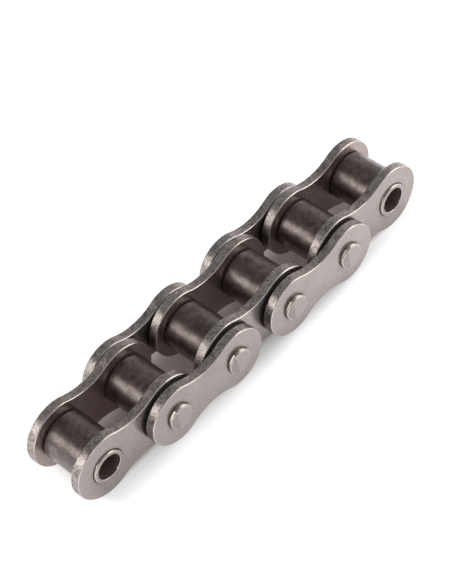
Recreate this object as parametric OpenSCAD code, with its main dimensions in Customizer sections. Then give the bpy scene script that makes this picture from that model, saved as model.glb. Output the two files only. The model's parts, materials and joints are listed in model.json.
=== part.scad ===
// Five links of a motorcycle roller chain, laid out straight and standing on the edges of its inner plates.
// X runs along the chain from the near end to the far end, Y along the pins from front to back, Z up.
// The origin is on the surface that the chain stands on, below the middle of the third link.

/* [Chain] */
// Distance from the centre of one roller to the next
pitch = 15.875; // [15:0.025:17]
// Clear width between the two plates of an inner link
inner_width = 9.65; // [8:0.05:12]

/* [Inner plates] */
// Thickness of an inner plate
inner_plate_t = 2.0; // [1.6:0.05:2.6]
// Height of an inner plate across its rounded ends
inner_plate_h = 14.4; // [13.4:0.1:14.8]
// Height of an inner plate at its waist
inner_waist_h = 10.75; // [9.5:0.05:12]

/* [Outer plates] */
// Thickness of an outer plate
outer_plate_t = 2.0; // [1.6:0.05:2.6]
// Height of an outer plate across its rounded ends
outer_plate_h = 13.1; // [12:0.1:14]
// Height of an outer plate at its waist
outer_waist_h = 9.25; // [8:0.05:11]

/* [Plate edges] */
// Rounding of the rim of every plate
plate_round = 0.25; // [0.1:0.05:0.5]
// Bevel round the holes on the outer side of every plate
hole_bevel = 0.2; // [0.05:0.05:0.4]

/* [Bushes] */
// Outside diameter of a bush
bush_d = 7.0; // [6.8:0.05:7.6]
// How far a bush stands out of its inner plate
bush_proud = 0.45; // [0.2:0.05:0.6]
// Rounding of the outer edge of a bush's lip
bush_round = 0.4; // [0.1:0.05:0.5]
// Rounding of the mouth of a bush's bore
bore_round = 0.15; // [0.1:0.05:0.3]

/* [Rollers] */
// Outside diameter of a roller
roller_d = 10.16; // [9.6:0.02:11]
// Rounding of the outer edges of a roller
roller_round = 0.45; // [0.1:0.05:0.8]
// Bevel at the mouths of a roller's bore
roller_bevel = 0.2; // [0.1:0.05:0.4]

/* [Pins] */
// Diameter of a pin
pin_d = 5.24; // [4.9:0.02:5.4]
// How far a pin stands out of its outer plate
pin_proud = 0.9; // [0.6:0.05:1.4]
// Rounding of a pin's ends
pin_round = 0.35; // [0.1:0.05:0.5]
// Distance from a pin's axis to the edge of the staked flat on its end
stake_offset = 0.9; // [0.6:0.05:1.8]
// Depth of the staked flat at the rim of the pin
stake_depth = 0.3; // [0.15:0.05:0.5]
// Rounding of the rim of the staked flat
stake_round = 0.18; // [0.05:0.01:0.3]

/* [Fits] */
// Radial running gap between a pin and its bush
pin_gap = 0.04; // [0.01:0.01:0.1]
// Radial running gap between a bush and its roller
roller_gap = 0.05; // [0.01:0.01:0.1]
// Gap at each end of a roller
roller_side_gap = 0.2; // [0.1:0.05:0.4]
// Gap between the end of a bush and the outer plate
link_side_gap = 0.1; // [0.05:0.05:0.4]
// How much smaller a plate's hole is than the bush or pin pressed into it
press = 0.02; // [0:0.01:0.04]

/* [Hidden] */

$fn = 96;

front = -1;
back = 1;
links = 5;
pivots = links + 1;

// The pins' height over the surface, set by the taller plates
pivot_z = inner_plate_h / 2;

// Where each layer lies along Y, measured from the middle of the chain
inner_face_y = inner_width / 2;
bush_end_y = inner_face_y + inner_plate_t + bush_proud;
outer_face_y = bush_end_y + link_side_gap;
pin_end_y = outer_face_y + outer_plate_t + pin_proud;

bush_length = 2 * bush_end_y;
bush_bore_d = pin_d + 2 * pin_gap;
roller_length = inner_width - 2 * roller_side_gap;
roller_bore_d = bush_d + 2 * roller_gap;
pin_length = 2 * pin_end_y;

// Extra reach of a cutting shape past the solid that it cuts
over = 1;
// How far surfaces that would only touch are set apart, so that they cross
crossing = 0.01;

// Distance from a plate's middle to the centre of the hollow arc that forms its waist
function arc_centre(end_r, waist) =
  waist + (pow(pitch / 2, 2) + pow(waist, 2) - pow(end_r - crossing, 2)) / (2 * (end_r - crossing - waist));

function pivot_x(pivot) = (pivot - (pivots + 1) / 2) * pitch;
function link_x(link) = (link - (links + 1) / 2) * pitch;

// Half section of a disc or a rod with rounded rims
module rounded_section(r, length, round) {
  translate([0, -length / 2]) square([r - round, length]);
  translate([0, round - length / 2]) square([r, length - 2 * round]);
  for (half = [-1, 1]) translate([r - round, half * (length / 2 - round)]) circle(round);
}

// Half section of the shape that cuts a waist and leaves its rim rounded
module waist_section(r, t) {
  difference() {
    translate([0, -t / 2 - over]) square([r + plate_round, t + 2 * over]);
    translate([r, plate_round - t / 2]) square([over, t - 2 * plate_round]);
    for (half = [-1, 1]) translate([r + plate_round, half * (t / 2 - plate_round)]) circle(plate_round);
  }
}

// The middle of a plate, from hole to hole, hollowed above and below
module plate_waist(centre, waist, t) {
  difference() {
    linear_extrude(t, center = true)
      polygon([[pitch / 2, 0], [0, centre], [-pitch / 2, 0], [0, -centre]]);
    for (half = [-1, 1])
      translate([0, half * centre, 0]) rotate_extrude() waist_section(centre - waist, t);
  }
}

// Hole through a plate, bevelled on the plate's outer side
module plate_hole(hole_d, t) {
  cylinder(h = t + 2 * over, d = hole_d, center = true);
  translate([0, 0, t / 2 - hole_bevel])
    cylinder(h = hole_bevel + over, d1 = hole_d, d2 = hole_d + 2 * (hole_bevel + over));
}

// A waisted link plate lying flat, with its outer side up
module link_plate(height, waist_height, t, hole_d) {
  end_r = height / 2;
  waist = waist_height / 2;
  centre = arc_centre(end_r, waist);
  difference() {
    union() {
      plate_waist(centre, waist, t);
      for (side = [-1, 1])
        translate([side * pitch / 2, 0, 0]) rotate_extrude() rounded_section(end_r, t, plate_round);
    }
    for (side = [-1, 1]) translate([side * pitch / 2, 0, 0]) plate_hole(hole_d, t);
  }
}

// Stands a plate on its edge, with its inner face at the given distance from the chain's middle
module stand_plate(link, side, face_y, t) {
  translate([link_x(link), side * (face_y + t / 2), pivot_z]) rotate([-90 * side, 0, 0]) children();
}

// Turns a part made along Z to lie along a pivot
module on_pivot(pivot) {
  translate([pivot_x(pivot), 0, pivot_z]) rotate([-90, 0, 0]) children();
}

// Corners cut from a bush's section so that the mouths of its bore are rounded
module mouth_round(bore_d, length, round) {
  for (half = [-1, 1])
    difference() {
      translate([0, half * length / 2 - round]) square([bore_d / 2 + round, 2 * round]);
      translate([bore_d / 2 + round, half * (length / 2 - round)]) circle(round);
    }
}

module inner_plate(link, side) {
  color([0.66, 0.63, 0.61])
    stand_plate(link, side, inner_face_y, inner_plate_t)
      link_plate(inner_plate_h, inner_waist_h, inner_plate_t, bush_d - press);
}

module outer_plate(link, side) {
  color([0.68, 0.65, 0.63])
    stand_plate(link, side, outer_face_y, outer_plate_t)
      link_plate(outer_plate_h, outer_waist_h, outer_plate_t, pin_d - press);
}

// Hardened tube pressed into both inner plates, with a rounded lip at each end
module bush(pivot) {
  color([0.72, 0.70, 0.67])
    on_pivot(pivot)
      rotate_extrude()
        difference() {
          rounded_section(bush_d / 2, bush_length, bush_round);
          translate([0, -bush_length / 2 - over]) square([bush_bore_d / 2, bush_length + 2 * over]);
          mouth_round(bush_bore_d, bush_length, bore_round);
        }
}

// Loose roller on a bush, between the inner plates
module roller(pivot) {
  color([0.24, 0.20, 0.20])
    on_pivot(pivot)
      difference() {
        rotate_extrude() rounded_section(roller_d / 2, roller_length, roller_round);
        cylinder(h = roller_length + 2 * over, d = roller_bore_d, center = true);
        for (end = [0, 1])
          mirror([0, 0, end])
            translate([0, 0, roller_length / 2 - roller_bevel])
              cylinder(
                h = roller_bevel + over, d1 = roller_bore_d,
                d2 = roller_bore_d + 2 * (roller_bevel + over)
              );
      }
}

// Rod along Z with rounded ends
module round_rod(r, length, round) {
  rotate_extrude() rounded_section(r, length, round);
}

// Rod whose upper end slopes down to the near side, as the flat that staking leaves on a pin's end
module staked_rod() {
  slope = stake_depth / (pin_d / 2 - stake_offset);
  multmatrix([[1, 0, 0, 0], [0, 1, 0, 0], [slope, 0, 1, slope * stake_offset]])
    translate([0, 0, -pin_length / 2]) round_rod(pin_d / 2 + crossing, 2 * pin_length, stake_round);
}

// Pin pressed into both outer plates, each end rounded and staked on one side
module pin(pivot) {
  color([0.74, 0.72, 0.70])
    on_pivot(pivot)
      intersection() {
        round_rod(pin_d / 2, pin_length, pin_round);
        staked_rod();
        mirror([0, 0, 1]) staked_rod();
      }
}

inner_plate(1, front);  // inner_plate_1_front
inner_plate(1, back);  // inner_plate_1_back
bush(1);  // bush_1
bush(2);  // bush_2
roller(1);  // roller_1
roller(2);  // roller_2

outer_plate(2, front);  // outer_plate_2_front
outer_plate(2, back);  // outer_plate_2_back
pin(2);  // pin_2
pin(3);  // pin_3

inner_plate(3, front);  // inner_plate_3_front
inner_plate(3, back);  // inner_plate_3_back
bush(3);  // bush_3
bush(4);  // bush_4
roller(3);  // roller_3
roller(4);  // roller_4

outer_plate(4, front);  // outer_plate_4_front
outer_plate(4, back);  // outer_plate_4_back
pin(4);  // pin_4
pin(5);  // pin_5

inner_plate(5, front);  // inner_plate_5_front
inner_plate(5, back);  // inner_plate_5_back
bush(5);  // bush_5
bush(6);  // bush_6
roller(5);  // roller_5
roller(6);  // roller_6
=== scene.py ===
"""Looks of the five-link motorcycle roller chain: steel finishes, studio and camera."""

import json
import math

import bpy
from mathutils import Matrix, Vector

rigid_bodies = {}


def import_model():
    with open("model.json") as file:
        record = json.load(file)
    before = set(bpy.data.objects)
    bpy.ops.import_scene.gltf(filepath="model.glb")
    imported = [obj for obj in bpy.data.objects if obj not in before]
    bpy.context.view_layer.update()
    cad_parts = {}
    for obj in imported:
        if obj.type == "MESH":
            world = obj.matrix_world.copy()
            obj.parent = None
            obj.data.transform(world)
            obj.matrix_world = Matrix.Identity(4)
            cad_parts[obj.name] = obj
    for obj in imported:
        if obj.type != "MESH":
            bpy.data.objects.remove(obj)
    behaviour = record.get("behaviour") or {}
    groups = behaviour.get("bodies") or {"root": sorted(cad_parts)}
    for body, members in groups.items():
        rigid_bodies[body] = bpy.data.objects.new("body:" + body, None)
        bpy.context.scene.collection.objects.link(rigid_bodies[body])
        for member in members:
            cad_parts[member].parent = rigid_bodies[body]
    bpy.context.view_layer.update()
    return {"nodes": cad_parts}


MM = 0.001

# Sizes of the chain that its finishes follow, in millimetres. The last five lie along Y, from the chain's middle.
PITCH = 15.875
PIVOT_Z = 7.2
PIN_3_X = -0.5 * PITCH
INNER_HOLE_R, OUTER_HOLE_R = 3.49, 2.61
ROLLER_END, INNER_FACE, BUSH_END, OUTER_SIDE, PIN_END = 4.625, 4.825, 7.275, 9.375, 10.275

# Base colours of the steels
INNER_PLATE = (0.324, 0.289, 0.278)
OUTER_PLATE = (0.328, 0.293, 0.281)
STAMPED_RIM = (0.267, 0.240, 0.230)
RUBBED_EDGE = (0.56, 0.515, 0.485)
# Oil film on the inner plates' inner faces, lifted and warmed with painted light bounced off the rollers
OIL_AND_BOUNCE_LIGHT = (1.16, 1.05, 1.02)
BORE_WALL = (0.30, 0.24, 0.215)
BUSH_FACE = (0.303, 0.270, 0.259)
BUSH_LIP = (0.47, 0.43, 0.40)
ROLLER_BLACK = (0.042, 0.022, 0.018)
ROLLER_BROWN = (0.078, 0.050, 0.044)
ROLLER_RUBBED = (0.24, 0.195, 0.18)
PIN_FACE = (0.340, 0.304, 0.293)
PIN_FLAT = (0.24, 0.211, 0.200)
PIN_RIM = (0.48, 0.435, 0.415)
# Painted shade on the pins' side walls, which also darkens their reflection in the plates
PIN_SHADED_SIDE = (0.31, 0.268, 0.252)

# Staking drags the pins' rims in a short arc: the angle of its middle and half its length
DRAG_ANGLE, DRAG_REACH = 2.29, 0.36

# The strip of floor where a shadow of the straight chain is painted, in metres. Past its ends a distance counts for
# more.
SHADE_MIDDLE = (0.0013, 0.0023, 0.0)
SHADE_HALF = (0.0418, 0.0072, 0.0)
SHADE_STRETCH = (2.1, 1.0, 1.0)
CONTACT_EDGE, SHADE_EDGE = 0.0021, 0.0092
TINT_EDGE = 0.0016
# Warm tint of painted bounce light in the floor's shade next to the chain
SHADE_TINT = (1.0, 0.78, 0.74)
LINK_REACH = 0.02
FLOOR_R = 4.0
FLOOR_GREY = (0.60, 0.60, 0.60, 1.0)
WHITE = (1.0, 1.0, 1.0)

# An area lamp of one square metre and this power, in watts, is as bright as white in the picture
WHITE_WATTS = 4.0
AIR_COLOUR = (1.0, 0.985, 0.97, 1.0)
BRIGHT_SIDE = (0.8, -0.6, 0.0)

# Camera as fitted to the photograph: radians, millimetres and metres
AZIMUTH, ELEVATION, ROLL = -0.67153, 0.86491, -0.19929
SENSOR_MM, LENS_MM = 36.0, 109.04
CAMERA_SPOT = (-0.133504, -0.167835, 0.263908)

for left_over in list(bpy.data.objects):
    bpy.data.objects.remove(left_over)

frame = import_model()


class Nodes:
    """Short calls for building a node tree. Any input can be given a socket or a plain value."""

    def __init__(self, tree):
        self.tree = tree

    def add(self, kind, **settings):
        node = self.tree.nodes.new(kind)
        for name, value in settings.items():
            setattr(node, name, value)
        return node

    def give(self, socket, value):
        """Links a socket, or writes a plain value on it."""
        if isinstance(value, bpy.types.NodeSocket):
            self.tree.links.new(value, socket)
        else:
            socket.default_value = value

    def give_all(self, node, values):
        """Gives a node's first inputs in turn."""
        for socket, value in zip(node.inputs, values):
            self.give(socket, value)

    def split(self, vector):
        node = self.add("ShaderNodeSeparateXYZ")
        self.give(node.inputs[0], vector)
        return node.outputs

    def join(self, *values):
        node = self.add("ShaderNodeCombineXYZ")
        self.give_all(node, values)
        return node.outputs[0]

    def vector(self, operation, *values, scale=None):
        node = self.add("ShaderNodeVectorMath", operation=operation)
        self.give_all(node, values)
        if scale is not None:
            self.give(node.inputs["Scale"], scale)
        return node.outputs["Value" if operation in ("LENGTH", "DOT_PRODUCT") else "Vector"]

    def math(self, operation, *values, clamp=False):
        node = self.add("ShaderNodeMath", operation=operation, use_clamp=clamp)
        self.give_all(node, values)
        return node.outputs[0]

    def plus(self, total, *others):
        for other in others:
            total = self.math("ADD", total, other)
        return total

    def times(self, product, *others):
        for other in others:
            product = self.math("MULTIPLY", product, other)
        return product

    def opposite(self, share):
        """What a share leaves of 1."""
        return self.math("SUBTRACT", 1.0, share)

    def slope(self, value, low, high, to_low=0.0, to_high=1.0, shape="LINEAR"):
        """Straight step of a value between low and high."""
        node = self.add("ShaderNodeMapRange", interpolation_type=shape)
        numbers = {"Value": value, "From Min": low, "From Max": high, "To Min": to_low, "To Max": to_high}
        for name, number in numbers.items():
            self.give(node.inputs[name], number)
        return node.outputs["Result"]

    def band(self, value, low, high, to_low=0.0, to_high=1.0):
        """Smooth step of a value between low and high."""
        return self.slope(value, low, high, to_low, to_high, shape="SMOOTHSTEP")

    def mix(self, share, a, b):
        """Mixes two colours."""
        node = self.add("ShaderNodeMix", data_type="RGBA")
        self.give(node.inputs["Factor"], share)
        for name, value in (("A", a), ("B", b)):
            socket = next(s for s in node.inputs if s.name == name and s.type == "RGBA")
            self.give(socket, value if isinstance(value, bpy.types.NodeSocket) else (*value, 1.0))
        return next(s for s in node.outputs if s.type == "RGBA")

    def seen(self):
        """1 for the rays of the camera, of reflections and of what shines through, 0 for light on its way."""
        path = self.add("ShaderNodeLightPath")
        share = path.outputs["Is Camera Ray"]
        for kind in ("Is Glossy Ray", "Is Transmission Ray"):
            share = self.math("MAXIMUM", share, path.outputs[kind])
        return share


def blank_material(name):
    material = bpy.data.materials.new(name)
    material.use_nodes = True
    material.node_tree.nodes.clear()
    return material


class Finish(Nodes):
    """A steel material, with its coordinates in millimetres and its surface's direction."""

    def __init__(self, name, metallic=0.88):
        self.material = blank_material(name)
        super().__init__(self.material.node_tree)
        self.shader = self.add("ShaderNodeBsdfPrincipled")
        self.shader.inputs["Metallic"].default_value = metallic
        output = self.add("ShaderNodeOutputMaterial")
        self.give(output.inputs["Surface"], self.shader.outputs[0])
        place = self.add("ShaderNodeTexCoord")
        self.mm = self.vector("SCALE", place.outputs["Object"], scale=1 / MM)
        self.x, self.y, self.z = self.split(self.mm)
        self.aside = self.math("ABSOLUTE", self.y)
        self.facing = self.math("ABSOLUTE", self.split(place.outputs["Normal"])[1])

    def noise(self, scale, detail=3.0, roughness=0.6, at=None, stretch=(1.0, 1.0, 1.0)):
        """Value noise from 0 to 1. scale and stretch are in cells per millimetre."""
        node = self.add("ShaderNodeTexNoise")
        spot = self.vector("MULTIPLY", self.mm if at is None else at, stretch)
        for name, value in (("Vector", spot), ("Scale", scale), ("Detail", detail), ("Roughness", roughness)):
            self.give(node.inputs[name], value)
        return node.outputs["Fac"]

    def vary(self, noise, low, high):
        """Spreads the middle values of a noise, which most of it has, from low to high."""
        return self.band(noise, 0.3, 0.7, low, high)

    def scratch(self, turn, stretch, rare):
        """Fine lines at a slant in the plates' plane. The turn is in radians, rare is how high the noise has to be."""
        node = self.add("ShaderNodeVectorRotate", rotation_type="EULER_XYZ")
        self.give(node.inputs["Vector"], self.mm)
        node.inputs["Rotation"].default_value = (0.0, turn, 0.0)
        lines = self.noise(1.0, 2.0, 0.5, at=node.outputs[0], stretch=stretch)
        return self.band(lines, rare, rare + 0.06)

    def turning_marks(self, radius, angle, cells, detail, roughness):
        """Noise in rings round a pivot. cells are its counts along the radius, the angle and Y."""
        spot = self.join(*(self.times(value, count) for value, count in zip((radius, angle, self.y), cells)))
        return self.noise(1.0, detail, roughness, at=spot)

    def tone(self, colour, factor):
        """A colour made lighter or darker by a factor."""
        return self.vector("SCALE", colour, scale=factor)

    def bump(self, height, strength, distance_mm, after=None):
        node = self.add("ShaderNodeBump")
        self.give(node.inputs["Strength"], strength)
        node.inputs["Distance"].default_value = distance_mm * MM
        self.give(node.inputs["Height"], height)
        if after is not None:
            self.give(node.inputs["Normal"], after)
        return node.outputs[0]

    def set(self, **inputs):
        for name, value in inputs.items():
            self.give(self.shader.inputs[name.replace("_", " ")], value)

    def about_pivot(self):
        """Distance from the nearest pivot's axis in millimetres, and the angle round it."""
        cell = self.math("FLOOR", self.math("DIVIDE", self.x, PITCH))
        across = self.math("SUBTRACT", self.x, self.times(self.plus(cell, 0.5), PITCH))
        above = self.math("SUBTRACT", self.z, PIVOT_Z)
        radius = self.math("SQRT", self.plus(self.times(across, across), self.times(above, above)))
        return radius, self.math("ARCTAN2", above, across)


def plate_steel(name, face, hole_r, seed):
    """Tumbled plate steel: mottled satin faces, rims with the grain of stamping, edges rubbed bright."""
    f = Finish(name)
    on_rim = f.band(f.facing, 0.25, 0.6, 1.0, 0.0)
    off_rim = f.opposite(on_rim)
    edge = f.math("MULTIPLY", f.opposite(f.band(f.facing, 0.90, 0.995)), off_rim, clamp=True)
    to_roller = f.times(f.band(f.aside, INNER_FACE + 0.015, INNER_FACE + 0.095, 1.0, 0.0), off_rim)
    radius, _ = f.about_pivot()
    # Painted shade: the face is darkened in a ring round each hole, where the pin or bush meets the plate
    hole_shade = f.band(radius, hole_r + 0.15, hole_r + 1.1, 1.0, 0.0)

    shifted = f.vector("ADD", f.mm, (seed, 2.0 * seed, 3.0 * seed))
    cloud = f.noise(0.28, 3.0, 0.55, at=shifted)
    mottle = f.noise(2.2, 4.0, 0.6, at=shifted)
    sand = f.noise(4.6, 2.0, 0.7, at=shifted)
    tear = f.noise(0.8, at=shifted)
    grain = f.noise(1.0, at=shifted, stretch=(5.0, 1.1, 5.0))
    scratches = f.math("MAXIMUM", f.scratch(0.55, (0.35, 1.0, 9.0), 0.66), f.scratch(-0.9, (0.5, 1.0, 11.0), 0.67))

    on_face = f.plus(
        f.vary(cloud, 0.95, 1.05), f.vary(mottle, -0.06, 0.06), f.vary(sand, -0.13, 0.13),
        f.times(scratches, 0.05), f.times(hole_shade, -0.14),
    )
    on_rims = f.plus(
        f.band(grain, 0.32, 0.68, 0.72, 1.22), f.vary(sand, -0.25, 0.36),
        f.vary(tear, -0.26, 0.26), f.vary(mottle, -0.26, 0.36),
    )
    colour = f.mix(on_rim, f.tone(face, on_face), f.tone(STAMPED_RIM, on_rims))
    colour = f.mix(f.times(edge, f.band(mottle, 0.25, 0.6, 0.35, 0.9)), colour, RUBBED_EDGE)
    # Oil film by the rollers, partly painted warm bounce light that lifts these shaded inner faces
    colour = f.mix(f.times(to_roller, f.vary(tear, 0.5, 1.0)), colour, f.vector("MULTIPLY", colour, OIL_AND_BOUNCE_LIGHT))

    dull = f.plus(f.vary(mottle, 0.20, 0.28), f.times(scratches, -0.04))
    worn = f.band(grain, 0.25, 0.75, 0.30, 0.47)
    rough = f.plus(f.times(dull, off_rim), f.times(worn, on_rim), f.times(edge, -0.09))

    relief = f.plus(f.times(mottle, 0.5), f.times(sand, 0.35), f.times(scratches, -0.15), f.times(grain, on_rim, 1.2))
    f.set(Base_Color=colour, Roughness=rough, Normal=f.bump(relief, 0.4, 0.03))
    return f.material


def bush_steel():
    """Ground tube with a rounded lip: bright where it is rubbed, fine turning marks round the bore."""
    f = Finish("bush_finish")
    radius, angle = f.about_pivot()
    rings = f.turning_marks(radius, angle, (14.0, 0.6, 6.0), 3.0, 0.6)
    mottle = f.noise(2.0, 4.0)
    at_end = f.band(f.aside, BUSH_END - 0.675, BUSH_END - 0.175)
    lip = f.times(f.opposite(f.band(f.facing, 0.90, 0.97)), f.band(f.aside, BUSH_END - 0.275, BUSH_END - 0.155))

    colour = f.mix(lip, f.mix(at_end, BORE_WALL, BUSH_FACE), BUSH_LIP)
    tone = f.plus(f.vary(rings, 0.9, 1.08), f.vary(mottle, -0.06, 0.06))
    rough = f.plus(f.vary(rings, 0.22, 0.30), f.band(at_end, 0.0, 1.0, 0.22, 0.0), f.times(lip, -0.06))
    f.set(Base_Color=f.tone(colour, tone), Roughness=rough, Normal=f.bump(f.plus(rings, mottle), 0.25, 0.015))
    return f.material


def roller_steel():
    """Dark heat-treated roller: brown-black under an uneven oil film, faint marks of turning, ends rubbed paler."""
    f = Finish("roller_finish", metallic=0.68)
    cloud = f.noise(0.32)
    mottle = f.noise(3.0, 4.0, 0.65)
    speck = f.noise(11.0, 3.0, 0.7)
    stain = f.noise(0.9)
    rings = f.noise(1.0, stretch=(0.5, 9.0, 0.5))
    smear = f.noise(0.7, 4.0, 0.65, at=f.vector("ADD", f.mm, (40.0, 0.0, 7.0)))
    ends = f.band(f.aside, ROLLER_END - 0.575, ROLLER_END - 0.025)

    colour = f.mix(f.vary(cloud, 0.0, 1.0), ROLLER_BLACK, ROLLER_BROWN)
    colour = f.mix(f.times(ends, f.band(mottle, 0.35, 0.65, 0.2, 0.8)), colour, ROLLER_RUBBED)
    tone = f.plus(f.vary(mottle, 0.80, 1.20), f.band(speck, 0.35, 0.75, -0.26, 0.38), f.vary(stain, -0.46, 0.46))
    rough = f.plus(f.vary(mottle, 0.30, 0.40), f.vary(rings, -0.03, 0.03))
    oil = f.band(smear, 0.32, 0.68, 0.42, 1.0)
    relief = f.plus(f.times(speck, 0.5), mottle, f.times(rings, 0.6))
    f.set(Base_Color=f.tone(colour, tone), Roughness=rough, Normal=f.bump(relief, 0.45, 0.02))
    f.set(Coat_Weight=oil, Coat_IOR=1.85, Coat_Roughness=0.345)
    return f.material


def pin_steel():
    """Pin ends: paler ground steel with faint turning rings, the staked flats dragged and duller."""
    f = Finish("pin_finish")
    radius, angle = f.about_pivot()
    mottle = f.noise(2.6, 4.0)
    fine = f.noise(9.0, 3.0, 0.65)
    rings = f.turning_marks(radius, angle, (7.0, 0.3, 5.0), 2.0, 0.5)
    flat = f.band(f.facing, 0.988, 0.996)
    staked = f.times(f.band(f.facing, 0.960, 0.980), f.opposite(flat))
    outer_ring = f.times(f.band(radius, 1.95, 2.25), flat, 0.3)
    rubbed = f.math("MAXIMUM", f.opposite(f.band(f.facing, 0.93, 0.975)), outer_ring)

    colour = f.mix(f.times(staked, f.band(mottle, 0.3, 0.6, 1.0, 0.4)), PIN_FACE, PIN_FLAT)
    colour = f.mix(rubbed, colour, PIN_RIM)
    # Painted shade: the pins' side walls are darker, and so is their reflection in the plates round them
    colour = f.mix(f.band(f.facing, 0.12, 0.40, 1.0, 0.0), colour, PIN_SHADED_SIDE)
    tone = f.plus(f.vary(mottle, 0.92, 1.07), f.vary(rings, -0.04, 0.04))
    rough = f.plus(f.vary(mottle, 0.30, 0.38), f.times(rubbed, -0.11))

    # The rim is drawn in by staking and flattened in a short arc to the upper left
    drawn_in = f.bump(f.band(f.aside, OUTER_SIDE + 0.105, PIN_END - 0.005, 1.0, 0.0), 1.0, 0.23)
    off_drag = f.math("MINIMUM", f.math("ABSOLUTE", f.math("SUBTRACT", angle, DRAG_ANGLE)), DRAG_REACH)
    on_side = f.band(f.facing, 0.90, 0.96, 1.0, 0.0)
    dragged = f.bump(f.times(off_drag, off_drag, 5.9), on_side, 0.22, after=drawn_in)
    # The end of pin_3 keeps the dimple of its centring
    on_pin_3 = f.band(f.math("ABSOLUTE", f.math("SUBTRACT", f.x, PIN_3_X)), 3.0, 3.5, 1.0, 0.0)
    dimple = f.times(on_pin_3, flat, f.band(radius, 0.10, 0.55, -1.0, 0.0))
    centred = f.bump(dimple, 1.0, 0.10, after=dragged)
    relief = f.plus(f.times(fine, 0.5), mottle, f.times(rings, 0.5))
    f.set(Base_Color=f.tone(colour, tone), Roughness=rough, Normal=f.bump(relief, 0.35, 0.03, after=centred))
    return f.material


finishes = {
    "inner_plate": plate_steel("inner_plate_finish", INNER_PLATE, INNER_HOLE_R, 5.0),
    "outer_plate": plate_steel("outer_plate_finish", OUTER_PLATE, OUTER_HOLE_R, 11.0),
    "bush": bush_steel(),
    "roller": roller_steel(),
    "pin": pin_steel(),
}
for name, piece in frame["nodes"].items():
    kind = next(k for k in finishes if name.startswith(k))
    piece.data.materials.clear()
    piece.data.materials.append(finishes[kind])


def studio_floor():
    """Plain white floor. What the camera or a reflection sees of it is lifted to white, but for a shadow of the chain
    that is painted into the lift.
    """
    bpy.ops.mesh.primitive_circle_add(vertices=96, radius=FLOOR_R, fill_type="NGON")
    floor = bpy.context.object
    floor.name = "studio_floor"
    material = blank_material("studio_floor_white")
    n = Nodes(material.node_tree)
    spot = n.add("ShaderNodeTexCoord").outputs["Object"]
    along = n.split(spot)[0]

    # How far a spot lies outside the strip of painted shadow
    off_middle = n.vector("ABSOLUTE", n.vector("SUBTRACT", spot, SHADE_MIDDLE))
    outside = n.vector("MAXIMUM", n.vector("SUBTRACT", off_middle, SHADE_HALF), (0.0, 0.0, 0.0))
    distance = n.vector("LENGTH", n.vector("MULTIPLY", outside, SHADE_STRETCH))

    # The lift is least in the strip, more at its edge and most past the shade, and changes along the chain: painted
    # shadow, and painted light that is brighter towards +X
    at_edge = n.plus(n.band(along, -0.016, -0.004, 0.41, 0.31), n.band(along, 0.018, 0.042, 0.0, 0.28))
    in_strip = n.band(distance, 0.0, CONTACT_EDGE, 0.088, at_edge)
    past_shade = n.slope(along, -0.016, 0.034, 0.72, 1.0)
    lift = n.slope(n.band(distance, CONTACT_EDGE, SHADE_EDGE), 0.0, 1.0, in_strip, past_shade)

    # The painted shade goes with the links: where none is near, the floor is white
    near = n.add("ShaderNodeAmbientOcclusion", samples=12)
    near.inputs["Distance"].default_value = LINK_REACH
    free = n.band(near.outputs["AO"], 0.84, 0.98)
    level = n.times(n.seen(), n.math("MAXIMUM", lift, free))
    # Painted warm bounce light, tinting the floor's shade next to the chain
    tint = n.mix(n.math("MAXIMUM", n.band(distance, 0.0, TINT_EDGE), free), SHADE_TINT, WHITE)

    diffuse = n.add("ShaderNodeBsdfDiffuse")
    diffuse.inputs["Color"].default_value = FLOOR_GREY
    glow = n.add("ShaderNodeEmission")
    n.give_all(glow, (tint, level))
    both = n.add("ShaderNodeAddShader")
    n.give_all(both, (diffuse.outputs[0], glow.outputs[0]))
    output = n.add("ShaderNodeOutputMaterial")
    n.give(output.inputs["Surface"], both.outputs[0])
    floor.data.materials.append(material)


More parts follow.
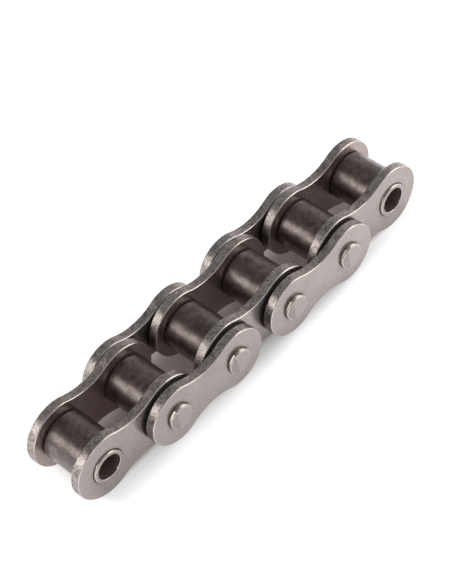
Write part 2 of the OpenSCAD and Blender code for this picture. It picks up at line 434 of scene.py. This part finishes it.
def softbox(name, azimuth, elevation, distance, width, height, radiance, colour):
    """Area lamp that faces the chain. Azimuth is in degrees from +X towards +Y, and a radiance of 1 is white."""
    a, e = math.radians(azimuth), math.radians(elevation)
    toward = Vector((math.cos(a) * math.cos(e), math.sin(a) * math.cos(e), math.sin(e)))
    data = bpy.data.lights.new(name, "AREA")
    data.shape = "RECTANGLE"
    data.size, data.size_y = width, height
    data.energy = WHITE_WATTS * width * height * radiance
    data.color = colour
    lamp = bpy.data.objects.new(name, data)
    lamp.location = toward * distance
    lamp.rotation_mode = "QUATERNION"
    lamp.rotation_quaternion = toward.to_track_quat("Z", "Y")
    bpy.context.scene.collection.objects.link(lamp)


def studio_air():
    """Soft light from all round, stronger from one side. Low over the floor, what is seen of it is white."""
    world = bpy.data.worlds.new("studio_air")
    world.use_nodes = True
    n = Nodes(world.node_tree)
    background = world.node_tree.nodes["Background"]
    background.inputs["Color"].default_value = AIR_COLOUR
    direction = n.add("ShaderNodeTexCoord").outputs["Generated"]
    glow = n.slope(n.vector("DOT_PRODUCT", direction, BRIGHT_SIDE), -0.4, 0.6, 0.22, 0.57)
    horizon = n.slope(n.split(direction)[2], 0.03, 0.13, 1.04, 0.0)
    n.give(background.inputs["Strength"], n.math("MAXIMUM", n.times(n.seen(), horizon), glow))
    bpy.context.scene.world = world


def photo_camera():
    """Camera that sees the chain as the photograph does."""
    right = Vector((math.cos(AZIMUTH), math.sin(AZIMUTH), 0.0))
    level = math.cos(ELEVATION)
    back = Vector((math.sin(AZIMUTH) * level, -math.cos(AZIMUTH) * level, math.sin(ELEVATION)))
    up = back.cross(right)
    rolled_right = math.cos(ROLL) * right + math.sin(ROLL) * up
    rolled_up = math.cos(ROLL) * up - math.sin(ROLL) * right
    lens = bpy.data.cameras.new("photo_camera")
    lens.sensor_fit = "AUTO"
    lens.sensor_width = SENSOR_MM
    lens.lens = LENS_MM
    lens.clip_start, lens.clip_end = 0.01, 20.0
    camera = bpy.data.objects.new("photo_camera", lens)
    turned = Matrix((rolled_right, rolled_up, back)).transposed().to_4x4()
    camera.matrix_world = Matrix.Translation(CAMERA_SPOT) @ turned
    bpy.context.scene.collection.objects.link(camera)
    bpy.context.scene.camera = camera


studio_floor()
softbox("key_softbox", 168.0, 29.5, 0.8, 0.95, 0.39, 3.1, (1.0, 0.975, 0.935))
softbox("right_softbox", -18.0, 28.0, 0.45, 0.60, 0.36, 1.6, (1.0, 0.985, 0.965))
studio_air()
photo_camera()
bpy.context.scene.view_settings.view_transform = "Standard"

bpy.context.view_layer.update()
